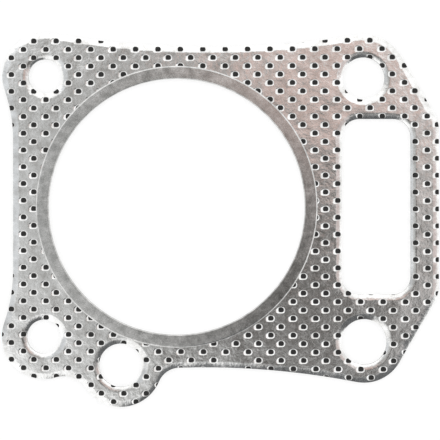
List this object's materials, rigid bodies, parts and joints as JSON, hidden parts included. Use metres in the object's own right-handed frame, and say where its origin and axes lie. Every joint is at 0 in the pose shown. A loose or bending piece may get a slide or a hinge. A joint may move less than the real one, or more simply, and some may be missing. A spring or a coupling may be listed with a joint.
{
  "type": "cylinder head gasket",
  "caption": "Flat steel-clad head gasket with staggered perforations, a folded fire ring round the bore, bolt holes in rounded lobes and a pushrod slot.",
  "frame": {"origin": "bore axis at the lower face of the fire ring, where it sits on the cylinder deck", "axes": "+Z along the bore axis towards the cylinder head, +X towards the pushrod slot, +Y away from the ear"},
  "size_m": [0.1178, 0.1008, 0.0016],
  "materials": {
    "upper_tinplate": "bright tinplate, rolled and punched",
    "fibre_core": "dark pressed fibre sheet",
    "lower_tinplate": "bright tinplate, rolled",
    "ring_steel": "satin folded steel strip"
  },
  "bodies": {
    "root": {"upper_skin": "upper_tinplate", "core": "fibre_core", "lower_skin": "lower_tinplate", "fire_ring": "ring_steel"}
  },
  "joints": []
}
